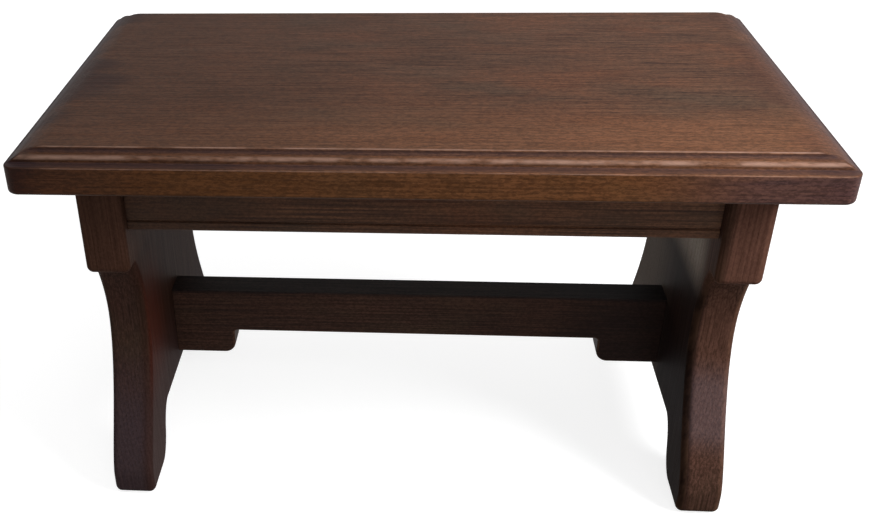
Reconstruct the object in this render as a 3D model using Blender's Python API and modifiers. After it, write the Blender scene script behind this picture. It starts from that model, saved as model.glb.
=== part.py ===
"""Oak footstool: a moulded top on two shaped end panels, tied by aprons and a stretcher with bracket ends.

Lengths are in metres. +X runs along the top, +Y points away from the front and +Z is up. The origin lies on the
floor, under the middle of the top. The joints are dowelled, and screws through corner blocks hold the top.
"""

from math import copysign, cos, pi, radians, sin, sqrt, tan

import bmesh
import bpy
from mathutils import Vector

# Whole stool
TOP_LENGTH = 0.450
TOP_DEPTH = 0.268
STOOL_HEIGHT = 0.255
JOINT_GAP = 0.0003
CUTTER_OVERRUN = 0.002

# Top board
TOP_THICKNESS = 0.0235
TOP_CORNER_RADIUS = 0.0075
INNER_CORNER_RADIUS = 0.002
TOP_UNDER_EASE = 0.002

# Moulding round the top board, from its edge inwards and upwards
ARRIS_EASE = 0.0006
LEDGE_WIDTH = 0.0068
LEDGE_COVE_RADIUS = 0.0008
RISER_HEIGHT = 0.0025
NOSE_WIDTH = 0.0030
NOSE_HEIGHT = 0.0016
COVE_WIDTH = 0.0032
COVE_HEIGHT = 0.0013
QUIRK_HEIGHT = 0.0016
FIELD_EASE = 0.0004

# Ends of the top board, where its field falls away to the ledge's level
END_FALL_WIDTH = 0.0185
END_SPREAD_SHARE = 0.08

# End panels
END_OVERHANG = 0.027
FRONT_OVERHANG = 0.032
PANEL_THICKNESS = 0.027
PANEL_ROUNDING = 0.0042
BLOCK_HEIGHT = 0.068
BLOCK_CORNER_RADIUS = 0.0045
STEP_WIDTH = 0.012
STEP_CORNER_RADIUS = 0.002
WAIST_WIDTH = 0.151
WAIST_HEIGHT = 0.119
FOOT_SPREAD = 0.230
TOE_HEIGHT = 0.014
TOE_RADIUS = 0.006
SOLE_LENGTH = 0.031
ARCH_HEIGHT = 0.034
ARCH_SHOULDER = 0.032

# How far each handle of the panel's curves reaches, as a share of the curve's own width and height
STEP_HANDLE_SHARES = (0.50, 0.21)
WAIST_UPPER_HANDLE_SHARE = 0.35
WAIST_LOWER_HANDLE_SHARE = 0.41
TOE_HANDLE_SHARE = 0.17
SOLE_HANDLE_SHARE = 0.28
ARCH_MIDDLE_SHARES = (0.58, 0.55)
ARCH_MIDDLE_HANDLE_SHARES = (0.094, 0.258)
ARCH_CEILING_HANDLE_SHARE = 0.17

# Aprons
APRON_SETBACK = 0.008
APRON_THICKNESS = 0.018
APRON_HEIGHT = 0.042
APRON_EASE = 0.0015
BEAD_HEIGHT = 0.0058
BEAD_RADIUS = 0.0025
GROOVE_WIDTH = 0.0018
GROOVE_DEPTH = 0.0011

# Stretcher
STRETCHER_THICKNESS = 0.020
STRETCHER_TOP = 0.098
STRETCHER_END_DEPTH = 0.052
STRETCHER_MIDDLE_DEPTH = 0.033
STRETCHER_ROUNDING = 0.0015
BRACKET_LENGTH = 0.0425
BRACKET_CORNER_RADIUS = 0.008
BRACKET_NECK_RADIUS = 0.0025

# Dowels
DOWEL_DIAMETER = 0.008
DOWEL_LENGTH = 0.038
DOWEL_PANEL_DEPTH = 0.015
DOWEL_CHAMFER = 0.001
STRETCHER_DOWEL_INSET = 0.014
APRON_DOWEL_INSET = 0.012

# Corner blocks and their screws
CORNER_BLOCK_WIDTH = 0.030
CORNER_BLOCK_HEIGHT = 0.034
CORNER_BLOCK_CUT = 0.014
SCREW_DIAMETER = 0.004
SCREW_HEAD_DIAMETER = 0.0078
SCREW_HEAD_HEIGHT = 0.0026
SCREW_HEAD_RIM = 0.0004
SCREW_TIP_HEIGHT = 0.005
SCREW_SINK = 0.0005
SCREW_TOP_BITE = 0.013

# Faceting
CORNER_STEPS = 8
OUTLINE_STEPS = 8
ROUNDING_STEPS = 4
SMALL_STEPS = 3
NOSE_STEPS = 5
DOWEL_SIDES = 16
SCREW_SIDES = 16
WELD_DISTANCE = 1e-6
QUARTER_TURN = pi / 2
SMOOTH_ANGLE = radians(40)

# Places that follow from the sizes above
TOP_UNDERSIDE = STOOL_HEIGHT - TOP_THICKNESS
SEAT_OF_TOP = TOP_UNDERSIDE - JOINT_GAP
MOULDING_WIDTH = LEDGE_WIDTH + NOSE_WIDTH + COVE_WIDTH
MOULDING_DROP = RISER_HEIGHT + NOSE_HEIGHT + COVE_HEIGHT + QUIRK_HEIGHT
BLOCK_DEPTH = TOP_DEPTH - 2 * FRONT_OVERHANG
PANEL_OUTER_X = TOP_LENGTH / 2 - END_OVERHANG
PANEL_INNER_X = PANEL_OUTER_X - PANEL_THICKNESS
PANEL_MIDDLE_X = PANEL_OUTER_X - PANEL_THICKNESS / 2
STEP_Z = TOP_UNDERSIDE - BLOCK_HEIGHT
RAIL_LENGTH = 2 * (PANEL_INNER_X - JOINT_GAP)
APRON_FACE_Y = BLOCK_DEPTH / 2 - APRON_SETBACK
APRON_MIDDLE_Y = APRON_FACE_Y - APRON_THICKNESS / 2
APRON_INNER_Y = APRON_FACE_Y - APRON_THICKNESS
APRON_BOTTOM = TOP_UNDERSIDE - APRON_HEIGHT
STRETCHER_BOTTOM = STRETCHER_TOP - STRETCHER_END_DEPTH
SCREW_LENGTH = CORNER_BLOCK_HEIGHT + JOINT_GAP + SCREW_TOP_BITE - SCREW_SINK


def clear_scene():
    """Removes what the startup scene holds."""
    for obj in list(bpy.data.objects):
        bpy.data.objects.remove(obj)


def new_collection(name):
    """Adds a collection under the scene's own."""
    collection = bpy.data.collections.new(name)
    bpy.context.scene.collection.children.link(collection)
    return collection


def linear(channel):
    """Turns an sRGB channel into the linear value that a shader takes."""
    return channel / 12.92 if channel <= 0.04045 else ((channel + 0.055) / 1.055) ** 2.4


def new_material(name, srgb, roughness, metallic=0.0):
    """Adds a Principled material from an sRGB colour of three channels from 0 to 255."""
    material = bpy.data.materials.new(name)
    material.use_nodes = True
    shader = material.node_tree.nodes["Principled BSDF"]
    shader.inputs["Base Color"].default_value = [linear(c / 255) for c in srgb] + [1.0]
    shader.inputs["Roughness"].default_value = roughness
    shader.inputs["Metallic"].default_value = metallic
    return material


def place(name, mesh, home, location, rotation=(0.0, 0.0, 0.0)):
    """Adds an object with this mesh to a collection."""
    obj = bpy.data.objects.new(name, mesh)
    obj.location = location
    obj.rotation_euler = rotation
    home.objects.link(obj)
    return obj


def shade_round(mesh):
    """Shades a mesh smooth except over its sharp edges."""
    mesh.shade_smooth()
    mesh.set_sharp_from_angle(angle=SMOOTH_ANGLE)


def corner(x, y):
    """A sharp point of an outline, with straight sides."""
    return Vector((x, y)), None, None


def rounded_corner(before, point, after, radius):
    """Two points of an outline that round a corner. before and after are the points on either side of it."""
    point = Vector(point)
    towards_before = (Vector(before) - point).normalized()
    towards_after = (Vector(after) - point).normalized()
    turn = pi - towards_before.angle(towards_after)
    setback = radius * tan(turn / 2)
    reach = setback - radius * tan(turn / 4) * 4 / 3
    start = point + towards_before * setback
    end = point + towards_after * setback
    return [
        (start, None, point + towards_before * reach),
        (end, point + towards_after * reach, None),
    ]


def with_mirror(half):
    """Closes half an outline, which lies at +X from top to bottom, with its mirror image."""

    def flipped(point):
        return None if point is None else Vector((-point.x, point.y))

    return half + [(flipped(p), flipped(after), flipped(before)) for p, before, after in reversed(half)]


def outline_solid(points, thickness):
    """A plate of this thickness whose flat outline lies in XY, centred on Z, as a mesh with one face to a side."""
    curve = bpy.data.curves.new("outline", "CURVE")
    curve.dimensions = "2D"
    curve.fill_mode = "BOTH"
    curve.extrude = thickness / 2
    curve.resolution_u = OUTLINE_STEPS
    spline = curve.splines.new("BEZIER")
    spline.bezier_points.add(len(points) - 1)
    spline.use_cyclic_u = True
    for knot, (point, before, after) in zip(spline.bezier_points, points):
        knot.co = point.to_3d()
        knot.handle_left_type = "FREE" if before else "VECTOR"
        knot.handle_right_type = "FREE" if after else "VECTOR"
        knot.handle_left = (before or point).to_3d()
        knot.handle_right = (after or point).to_3d()
    guide = bpy.data.objects.new("outline", curve)
    bpy.context.scene.collection.objects.link(guide)
    graph = bpy.context.evaluated_depsgraph_get()
    mesh = bpy.data.meshes.new_from_object(guide.evaluated_get(graph))
    bpy.data.objects.remove(guide)
    bpy.data.curves.remove(curve)
    bm = bmesh.new()
    bm.from_mesh(mesh)
    bmesh.ops.remove_doubles(bm, verts=bm.verts[:], dist=WELD_DISTANCE)
    caps = [face for face in bm.faces if len({vert.co.z > 0.0 for vert in face.verts}) == 1]
    bmesh.ops.dissolve_faces(bm, faces=caps)
    bmesh.ops.recalc_face_normals(bm, faces=bm.faces[:])
    bm.to_mesh(mesh)
    bm.free()
    mesh.materials.clear()
    return mesh


def weigh_edges(mesh, is_square):
    """Marks the edges round both faces of a plate for rounding, except those that is_square picks out."""
    bm = bmesh.new()
    bm.from_mesh(mesh)
    weight = bm.edges.layers.float.new("bevel_weight_edge")
    for edge in bm.edges:
        low, high = (vert.co for vert in edge.verts)
        lies_flat = abs(low.z - high.z) < WELD_DISTANCE
        edge[weight] = float(lies_flat and not (is_square(low) and is_square(high)))
    bm.to_mesh(mesh)
    bm.free()


def round_edges(obj, radius, steps):
    """Rounds the marked edges of a plate."""
    bevel = obj.modifiers.new("rounded_edges", "BEVEL")
    bevel.limit_method = "WEIGHT"
    bevel.width = radius
    bevel.segments = steps
    bevel.use_clamp_overlap = False


def cut(obj, cutter):
    """Cuts a hole with another object."""
    hole = obj.modifiers.new(cutter.name, "BOOLEAN")
    hole.operation = "DIFFERENCE"
    hole.solver = "EXACT"
    hole.object = cutter


def arc(centre, across, up, start, end, steps):
    """Points along an ellipse's arc after its first, from one angle to another in quarter turns."""
    angles = [QUARTER_TURN * (start + (end - start) * i / steps) for i in range(1, steps + 1)]
    return [(centre[0] + across * cos(a), centre[1] + up * sin(a)) for a in angles]


def end_inset(inset, height):
    """How far inside the board's ends a ring lies that is this far inside its long edges, at this height.

    The ends fall away in a parabola from the field to the ledge, and the moulding's lines run out over them.
    """
    eased = min(inset, ARRIS_EASE)
    drop_share = min(1.0, -height / MOULDING_DROP)
    return eased + (inset - eased) * END_SPREAD_SHARE + END_FALL_WIDTH * (1.0 - sqrt(drop_share))


def moulding_profile():
    """The moulding as rings from the top of the board's upright edge to its flat field.

    Each ring is its inset from the ends, its inset from the long edges and its height.
    """
    ledge = -MOULDING_DROP
    nose_foot = ledge + RISER_HEIGHT
    nose_top = nose_foot + NOSE_HEIGHT
    nose_inset = LEDGE_WIDTH + NOSE_WIDTH
    points = [(0.0, ledge - ARRIS_EASE)]
    points += arc((ARRIS_EASE, ledge - ARRIS_EASE), ARRIS_EASE, ARRIS_EASE, 2, 1, SMALL_STEPS)
    cove_start = LEDGE_WIDTH - LEDGE_COVE_RADIUS
    points.append((cove_start, ledge))
    cove_centre = (cove_start, ledge + LEDGE_COVE_RADIUS)
    points += arc(cove_centre, LEDGE_COVE_RADIUS, LEDGE_COVE_RADIUS, -1, 0, SMALL_STEPS)
    points.append((LEDGE_WIDTH, nose_foot))
    points += arc((nose_inset, nose_foot), NOSE_WIDTH, NOSE_HEIGHT, 2, 1, NOSE_STEPS)
    points += arc((nose_inset, nose_top + COVE_HEIGHT), COVE_WIDTH, COVE_HEIGHT, -1, 0, ROUNDING_STEPS)
    points.append((MOULDING_WIDTH, -FIELD_EASE))
    points += arc((MOULDING_WIDTH + FIELD_EASE, -FIELD_EASE), FIELD_EASE, FIELD_EASE, 2, 1, SMALL_STEPS)
    return [(end_inset(inset, height), inset, height) for inset, height in points]


def under_profile():
    """The eased lower edge of the top board, as rings like the moulding's, down from the upright edge."""
    ease = TOP_UNDER_EASE
    points = [(0.0, ease)] + arc((ease, ease), ease, ease, 2, 3, SMALL_STEPS)
    return [(inset, inset, height) for inset, height in points]


def board_corner(vert, ring):
    """The centre and the radius of a ring's plan corner beside a vertex."""
    from_end, from_side, _ = ring
    radius = max(TOP_CORNER_RADIUS - from_side, INNER_CORNER_RADIUS)
    reach_x = TOP_LENGTH / 2 - from_end - radius
    reach_y = TOP_DEPTH / 2 - from_side - radius
    centre = Vector((copysign(reach_x, vert.co.x), copysign(reach_y, vert.co.y)))
    return centre, radius


def raise_face(bm, face):
    """Extrudes a face and returns the new one, which still lies on it."""
    raised = bmesh.ops.extrude_face_region(bm, geom=[face])
    return next(item for item in raised["geom"] if isinstance(item, bmesh.types.BMFace))


def run_profile(bm, face, rings):
    """Extrudes a face from ring to ring of a profile."""
    for ring, next_ring in zip(rings, rings[1:]):
        base = face
        face = raise_face(bm, base)
        bmesh.ops.delete(bm, geom=[base], context="FACES_ONLY")
        for vert in face.verts:
            centre, radius = board_corner(vert, ring)
            next_centre, next_radius = board_corner(vert, next_ring)
            outward = (vert.co.xy - centre) / radius
            vert.co.xy = next_centre + outward * next_radius
            vert.co.z += next_ring[2] - ring[2]


def top_board_mesh():
    """The top: a rounded rectangle raised to the ledge, then stepped inwards along the moulding."""
    upper_rings = moulding_profile()
    under_rings = under_profile()
    edge_top = STOOL_HEIGHT + upper_rings[0][2]
    edge_bottom = TOP_UNDERSIDE + under_rings[0][2]
    bm = bmesh.new()
    bmesh.ops.create_grid(bm, x_segments=1, y_segments=1, size=1.0)
    bmesh.ops.scale(bm, verts=bm.verts[:], vec=(TOP_LENGTH / 2, TOP_DEPTH / 2, 1.0))
    bmesh.ops.translate(bm, verts=bm.verts[:], vec=(0.0, 0.0, edge_bottom))
    bmesh.ops.bevel(
        bm,
        geom=bm.verts[:],
        offset=TOP_CORNER_RADIUS,
        offset_type="OFFSET",
        segments=CORNER_STEPS,
        profile=0.5,
        affect="VERTICES",
        material=-1,
    )
    under = bm.faces[:][0]
    upper = raise_face(bm, under)
    bmesh.ops.translate(bm, verts=upper.verts[:], vec=(0.0, 0.0, edge_top - edge_bottom))
    run_profile(bm, upper, upper_rings)
    run_profile(bm, under, under_rings)
    bmesh.ops.recalc_face_normals(bm, faces=bm.faces[:])
    mesh = bpy.data.meshes.new("top_board")
    bm.to_mesh(mesh)
    bm.free()
    shade_round(mesh)
    return mesh


def end_panel_outline():
    """The end panel's outline: +X runs to its front or rear edge, +Y is up."""
    block = BLOCK_DEPTH / 2
    step = block - STEP_WIDTH
    waist = WAIST_WIDTH / 2
    toe = FOOT_SPREAD / 2
    step_width, step_height = step - waist, STEP_Z - WAIST_HEIGHT
    flare_height = WAIST_HEIGHT - TOE_HEIGHT
    sole_end = toe - SOLE_LENGTH
    ceiling = sole_end - ARCH_SHOULDER
    step_handle = (
        step - step_width * STEP_HANDLE_SHARES[0],
        STEP_Z - step_height * STEP_HANDLE_SHARES[1],
    )
    neck_before, neck_after = rounded_corner((block, STEP_Z), (step, STEP_Z), step_handle, STEP_CORNER_RADIUS)
    arch_middle = Vector(
        (sole_end - ARCH_SHOULDER * ARCH_MIDDLE_SHARES[0], ARCH_HEIGHT * ARCH_MIDDLE_SHARES[1])
    )
    arch_slope = Vector(
        (ARCH_SHOULDER * ARCH_MIDDLE_HANDLE_SHARES[0], -ARCH_HEIGHT * ARCH_MIDDLE_HANDLE_SHARES[1])
    )
    return with_mirror(
        [
            corner(block, SEAT_OF_TOP),
            *rounded_corner((block, SEAT_OF_TOP), (block, STEP_Z), (step, STEP_Z), BLOCK_CORNER_RADIUS),
            neck_before,
            (neck_after[0], neck_after[1], Vector(step_handle)),
            (
                Vector((waist, WAIST_HEIGHT)),
                Vector((waist, WAIST_HEIGHT + step_height * WAIST_UPPER_HANDLE_SHARE)),
                Vector((waist, WAIST_HEIGHT - flare_height * WAIST_LOWER_HANDLE_SHARE)),
            ),
            (
                Vector((toe, TOE_HEIGHT)),
                Vector((toe, TOE_HEIGHT + flare_height * TOE_HANDLE_SHARE)),
                None,
            ),
            *rounded_corner((toe, TOE_HEIGHT), (toe, 0.0), (sole_end, 0.0), TOE_RADIUS),
            (
                Vector((sole_end, 0.0)),
                None,
                Vector((sole_end - ARCH_SHOULDER * SOLE_HANDLE_SHARE, 0.0)),
            ),
            (arch_middle, arch_middle + arch_slope, arch_middle - arch_slope),
            (
                Vector((ceiling, ARCH_HEIGHT)),
                Vector((ceiling + ARCH_SHOULDER * ARCH_CEILING_HANDLE_SHARE, ARCH_HEIGHT)),
                None,
            ),
        ]
    )


def stretcher_outline():
    """The stretcher's outline: +X runs along it, +Y is up from the underside of its brackets."""
    end = RAIL_LENGTH / 2
    bracket = PANEL_INNER_X - BRACKET_LENGTH
    middle = STRETCHER_END_DEPTH - STRETCHER_MIDDLE_DEPTH
    return with_mirror(
        [
            corner(end, STRETCHER_END_DEPTH),
            corner(end, 0.0),
            *rounded_corner((end, 0.0), (bracket, 0.0), (bracket, middle), BRACKET_CORNER_RADIUS),
            *rounded_corner((bracket, 0.0), (bracket, middle), (0.0, middle), BRACKET_NECK_RADIUS),
        ]
    )


def apron_section():
    """An apron's section: its face is at -X and +Y is up from its underside."""
    face, back = -APRON_THICKNESS / 2, APRON_THICKNESS / 2
    height = APRON_HEIGHT - JOINT_GAP
    groove_top = BEAD_HEIGHT + GROOVE_WIDTH
    groove_bottom = Vector((face + GROOVE_DEPTH, BEAD_HEIGHT + GROOVE_WIDTH / 2))
    return [
        corner(face, height),
        corner(face, groove_top),
        (groove_bottom, None, None),
        corner(face, BEAD_HEIGHT),
        *rounded_corner((face, BEAD_HEIGHT), (face, 0.0), (back, 0.0), BEAD_RADIUS),
        *rounded_corner((face, 0.0), (back, 0.0), (back, height), APRON_EASE),
        corner(back, height),
    ]


def corner_block_section():
    """A corner block seen from above: its glued corner is at the origin and its free corner is cut off."""
    width = CORNER_BLOCK_WIDTH
    return [
        corner(0.0, 0.0),
        corner(width, 0.0),
        corner(width, width - CORNER_BLOCK_CUT),
        corner(width - CORNER_BLOCK_CUT, width),
        corner(0.0, width),
    ]


def rod_mesh(name, radius, length, chamfer, sides):
    """A round rod along Z, with its ends chamfered where chamfer isn't zero."""
    bm = bmesh.new()
    bmesh.ops.create_cone(bm, cap_ends=True, segments=sides, radius1=radius, radius2=radius, depth=length)
    if chamfer:
        rims = [edge for edge in bm.edges if abs(edge.verts[0].co.z - edge.verts[1].co.z) < WELD_DISTANCE]
        bmesh.ops.bevel(bm, geom=rims, offset=chamfer, segments=1, profile=0.5, affect="EDGES", material=-1)
    mesh = bpy.data.meshes.new(name)
    bm.to_mesh(mesh)
    bm.free()
    shade_round(mesh)
    return mesh


def screw_mesh(name, grow, tail):
    """A countersunk screw standing on its head, as an open profile for a Screw modifier.

    grow makes it fatter and longer on every side, for the hole that it needs, and tail lengthens its head downwards.
    """
    shank = SCREW_DIAMETER / 2 + grow
    head = SCREW_HEAD_DIAMETER / 2 + grow
    neck = SCREW_HEAD_HEIGHT + grow
    profile = [
        (0.0, SCREW_LENGTH + grow),
        (shank, SCREW_LENGTH + grow - SCREW_TIP_HEIGHT),
        (shank, neck),
        (head, SCREW_HEAD_RIM),
        (head, -tail),
        (0.0, -tail),
    ]
    bm = bmesh.new()
    verts = [bm.verts.new((radius, 0.0, height)) for radius, height in profile]
    for pair in zip(verts, verts[1:]):
        bm.edges.new(pair)
    mesh = bpy.data.meshes.new(name)
    bm.to_mesh(mesh)
    bm.free()
    return mesh


def turn(obj):
    """Turns an open profile into a solid round Z."""
    screw = obj.modifiers.new("turned", "SCREW")
    screw.steps = SCREW_SIDES
    screw.render_steps = SCREW_SIDES
    screw.use_merge_vertices = True
    screw.merge_threshold = WELD_DISTANCE
    screw.use_smooth_shade = True


class Footstool:
    """Builds the stool's pieces into one collection and their cutters into another."""

    def __init__(self):
        self.pieces = new_collection("footstool")
        self.cutters = new_collection("footstool_cutters")
        self.stained_oak = new_material("stained_oak", (88, 56, 38), 0.35)
        self.glue_block_oak = new_material("glue_block_oak", (96, 66, 44), 0.6)
        self.beech = new_material("beech_dowel", (196, 160, 116), 0.6)
        self.zinc = new_material("zinc_plated_steel", (190, 188, 180), 0.35, 1.0)
        self.root = bpy.data.objects.new("footstool", None)
        self.pieces.objects.link(self.root)

    def add(self, name, mesh, material, location, rotation=(0.0, 0.0, 0.0)):
        """Adds one piece of the stool."""
        obj = place(name, mesh, self.pieces, location, rotation)
        obj.parent = self.root
        if not mesh.materials:
            mesh.materials.append(material)
        return obj

    def add_cutter(self, name, mesh, location, rotation=(0.0, 0.0, 0.0)):
        """Adds a shape that only cuts others."""
        obj = place(name, mesh, self.cutters, location, rotation)
        obj.hide_render = True
        obj.display_type = "WIRE"
        return obj

    def make_top(self):
        """The top board."""
        self.top = self.add("top_board", top_board_mesh(), self.stained_oak, (0.0, 0.0, 0.0))

    def make_end_panels(self):
        """The two end panels, whose edges are rounded except where they meet the top."""
        mesh = outline_solid(end_panel_outline(), PANEL_THICKNESS)
        weigh_edges(mesh, lambda point: point.y > SEAT_OF_TOP - WELD_DISTANCE)
        shade_round(mesh)
        self.panels = {}
        for side, name in ((-1, "left_end_panel"), (1, "right_end_panel")):
            location = (side * PANEL_MIDDLE_X, 0.0, 0.0)
            rotation = (QUARTER_TURN, 0.0, QUARTER_TURN)
            panel = self.add(name, mesh, self.stained_oak, location, rotation)
            round_edges(panel, PANEL_ROUNDING, ROUNDING_STEPS)
            self.panels[side] = panel

    def make_stretcher(self):
        """The stretcher, on edge between the panels."""
        mesh = outline_solid(stretcher_outline(), STRETCHER_THICKNESS)
        weigh_edges(mesh, lambda point: abs(point.x) > RAIL_LENGTH / 2 - WELD_DISTANCE)
        shade_round(mesh)
        location = (0.0, 0.0, STRETCHER_BOTTOM)
        self.stretcher = self.add("stretcher", mesh, self.stained_oak, location, (QUARTER_TURN, 0.0, 0.0))
        round_edges(self.stretcher, STRETCHER_ROUNDING, SMALL_STEPS)

    def make_aprons(self):
        """The front apron, and its twin turned to face the rear."""
        mesh = outline_solid(apron_section(), RAIL_LENGTH)
        shade_round(mesh)
        self.aprons = {}
        for side, name in ((-1, "front_apron"), (1, "rear_apron")):
            location = (0.0, side * APRON_MIDDLE_Y, APRON_BOTTOM)
            rotation = (QUARTER_TURN, 0.0, -side * QUARTER_TURN)
            self.aprons[side] = self.add(name, mesh, self.stained_oak, location, rotation)

    def add_dowel(self, name, side, rail, y, z):
        """A dowel across the joint of a rail with the panel on one side, and the hole for it in both."""
        middle = side * (PANEL_INNER_X + DOWEL_PANEL_DEPTH - DOWEL_LENGTH / 2)
        radius = DOWEL_DIAMETER / 2
        across = (0.0, QUARTER_TURN, 0.0)
        dowel = rod_mesh(name, radius, DOWEL_LENGTH, DOWEL_CHAMFER, DOWEL_SIDES)
        self.add(name, dowel, self.beech, (middle, y, z), across)
        hole = rod_mesh(name, radius + JOINT_GAP, DOWEL_LENGTH + 2 * JOINT_GAP, 0.0, DOWEL_SIDES)
        cutter = self.add_cutter(name + "_hole", hole, (middle, y, z), across)
        cut(self.panels[side], cutter)
        cut(rail, cutter)

    def make_dowels(self):
        """Two dowels in each end of the stretcher and of each apron."""
        for side, end in ((-1, "left"), (1, "right")):
            low = STRETCHER_BOTTOM + STRETCHER_DOWEL_INSET
            high = STRETCHER_TOP - STRETCHER_DOWEL_INSET
            for z, level in ((low, "lower"), (high, "upper")):
                self.add_dowel(f"stretcher_dowel_{end}_{level}", side, self.stretcher, 0.0, z)
            for across, rail in self.aprons.items():
                y = across * APRON_MIDDLE_Y
                low = APRON_BOTTOM + APRON_DOWEL_INSET
                high = TOP_UNDERSIDE - APRON_DOWEL_INSET
                for z, level in ((low, "lower"), (high, "upper")):
                    self.add_dowel(f"{rail.name}_dowel_{end}_{level}", side, rail, y, z)

    def make_corner_blocks(self):
        """A glued block in each inner corner under the top, with a screw through it into the top."""
        corners = (
            ("front_left", -1, -1, 0),
            ("front_right", 1, -1, 1),
            ("rear_right", 1, 1, 2),
            ("rear_left", -1, 1, 3),
        )
        section = outline_solid(corner_block_section(), CORNER_BLOCK_HEIGHT)
        bottom = SEAT_OF_TOP - CORNER_BLOCK_HEIGHT
        reach = CORNER_BLOCK_WIDTH / 2 + JOINT_GAP
        for place_name, side, across, turns in corners:
            x = side * (PANEL_INNER_X - JOINT_GAP)
            y = across * (APRON_INNER_Y - JOINT_GAP)
            middle = (x, y, bottom + CORNER_BLOCK_HEIGHT / 2)
            rotation = (0.0, 0.0, turns * QUARTER_TURN)
            block = self.add(f"corner_block_{place_name}", section, self.glue_block_oak, middle, rotation)
            screw_at = (
                side * (PANEL_INNER_X - reach),
                across * (APRON_INNER_Y - reach),
                bottom + SCREW_SINK,
            )
            name = f"top_screw_{place_name}"
            screw = self.add(name, screw_mesh(name, 0.0, 0.0), self.zinc, screw_at)
            turn(screw)
            hole_mesh = screw_mesh(name + "_hole", JOINT_GAP, SCREW_SINK + CUTTER_OVERRUN)
            hole = self.add_cutter(name + "_hole", hole_mesh, screw_at)
            turn(hole)
            cut(block, hole)
            cut(self.top, hole)


def main():
    """Builds the whole stool."""
    clear_scene()
    stool = Footstool()
    stool.make_top()
    stool.make_end_panels()
    stool.make_stretcher()
    stool.make_aprons()
    stool.make_dowels()
    stool.make_corner_blocks()


main()
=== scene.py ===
"""An oak footstool, dressed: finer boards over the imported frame, stained oak, a plain floor and soft light.

Lengths are in metres unless a name ends in _mm. +X runs along the top, +Y points away from the front, +Z up.
"""

import logging
from dataclasses import dataclass
from enum import Enum
from functools import cached_property
from math import copysign, cos, pi, radians, sin, sqrt, tan
from typing import Iterable, NamedTuple

import bmesh
import bpy
from bmesh.types import BMEdge, BMesh, BMFace, BMVert
from bpy.types import Material, Node, NodeSocket, NodeTree, Object
from mathutils import Matrix, Vector


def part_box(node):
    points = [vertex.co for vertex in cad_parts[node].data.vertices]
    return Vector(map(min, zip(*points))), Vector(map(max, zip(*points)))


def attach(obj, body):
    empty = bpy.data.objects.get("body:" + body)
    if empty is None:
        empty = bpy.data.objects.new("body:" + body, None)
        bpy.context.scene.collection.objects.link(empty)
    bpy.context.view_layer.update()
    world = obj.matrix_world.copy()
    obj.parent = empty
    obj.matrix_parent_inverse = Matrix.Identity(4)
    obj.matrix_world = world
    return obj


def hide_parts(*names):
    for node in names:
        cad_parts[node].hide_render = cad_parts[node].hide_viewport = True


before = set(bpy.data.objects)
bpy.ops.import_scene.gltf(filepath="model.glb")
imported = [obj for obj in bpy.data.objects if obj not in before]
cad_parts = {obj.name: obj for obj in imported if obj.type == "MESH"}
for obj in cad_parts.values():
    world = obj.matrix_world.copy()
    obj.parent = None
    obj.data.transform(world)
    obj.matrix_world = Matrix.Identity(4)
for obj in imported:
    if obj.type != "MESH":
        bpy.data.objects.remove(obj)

LOG = logging.getLogger("footstool")
QUARTER_TURN = pi / 2
WELD_DISTANCE = 1e-6
SMOOTH_ANGLE = radians(40)
ARRIS = "arris"
CORNERS = ("front_left", "front_right", "rear_left", "rear_right")
TO_MM = (1000.0, 1000.0, 1000.0)
# A wave texture of scale 1 repeats after this length.
WAVE_SPACING = 2 * pi / 20
NOISE_ROUGHNESS = 0.68
# Almost all of a noise's values lie between these.
NOISE_RANGE = (0.25, 0.75)
# Of varnish and of bare wood.
WOOD_IOR = 1.5

Pair = tuple[float, float]
Triple = tuple[float, float, float]
Value = NodeSocket | float


# Mixing a finish


def linear(hex_colour: str) -> tuple[float, ...]:
    """Turns an sRGB hex colour into opaque linear RGBA for a shader, by the sRGB standard's own numbers."""
    channels = [int(hex_colour[i:i + 2], 16) / 255 for i in (1, 3, 5)]
    return (*(c / 12.92 if c <= 0.04045 else ((c + 0.055) / 1.055) ** 2.4 for c in channels), 1.0)


def add_node(tree: NodeTree, kind: str, inputs: dict | None = None, **settings: object) -> Node:
    """Adds a node with its settings and links.

    Args:
        tree: The node tree that takes it.
        kind: The node's class name.
        inputs: Values for its inputs, by name or number. A socket is linked, and anything else is set.
        settings: The node's own properties.

    Returns:
        The new node.
    """
    node = tree.nodes.new(kind)
    for name, value in settings.items():
        setattr(node, name, value)
    for key, value in (inputs or {}).items():
        if isinstance(value, NodeSocket):
            tree.links.new(value, node.inputs[key])
        else:
            node.inputs[key].default_value = value
    return node


class Pattern(NamedTuple):
    """A noise drawn out along the grain, and the stretch of its values over which a feature grows to full.

    Length and width are the size of its features, in the unit of the place that it is drawn from: millimetres
    on a board, metres on the stool. Detail is how many finer layers it has. Shift moves it, so that noises of
    one size differ.
    """

    length: float
    width: float
    detail: float
    shift: float = 0.0
    start: float = 0.0
    end: float = 1.0


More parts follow.
